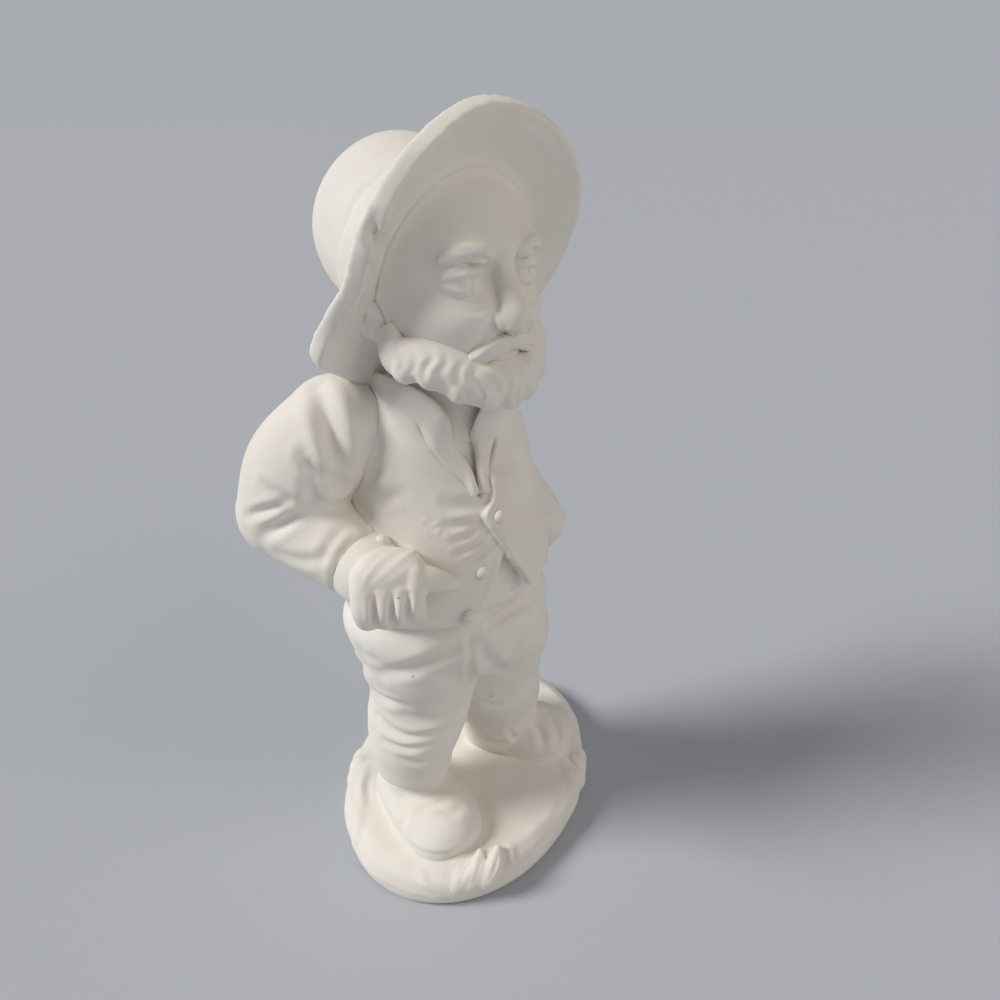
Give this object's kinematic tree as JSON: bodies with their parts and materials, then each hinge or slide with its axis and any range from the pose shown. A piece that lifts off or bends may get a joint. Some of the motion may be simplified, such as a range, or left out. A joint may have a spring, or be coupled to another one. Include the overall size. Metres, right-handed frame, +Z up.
{
  "type": "ceramic figurine",
  "caption": "White unglazed figurine of an elderly bearded person in a pushed-back wide hat, jacket, baggy trousers and boots on an oval grassy mound; a shelf ornament on a flat foot.",
  "frame": {"origin": "middle of the flat underside of the mound", "axes": "+Z up along the figure, -Y the way the figure faces, +X towards the figure's left"},
  "size_m": [0.1139, 0.0943, 0.2224],
  "materials": {
    "bisque": "matt unglazed white bisque"
  },
  "bodies": {
    "root": {"base_mound": "bisque", "right_boot": "bisque", "left_boot": "bisque", "trousers": "bisque", "torso": "bisque", "waistband": "bisque", "neck": "bisque", "jacket": "bisque", "upper_button": "bisque", "lower_button": "bisque", "collar_clasp": "bisque", "right_collar": "bisque", "left_collar": "bisque", "right_sleeve": "bisque", "right_hand": "bisque", "right_cuff": "bisque", "right_cuff_button": "bisque", "left_sleeve": "bisque", "left_hand": "bisque", "left_cuff": "bisque", "left_cuff_button": "bisque", "head": "bisque", "hat_crown": "bisque", "hat_brim": "bisque", "hat_band": "bisque", "right_ear": "bisque", "left_ear": "bisque", "beard": "bisque", "moustache": "bisque", "hair": "bisque", "front_tuft": "bisque", "side_tuft": "bisque", "back_tuft": "bisque"}
  },
  "joints": []
}
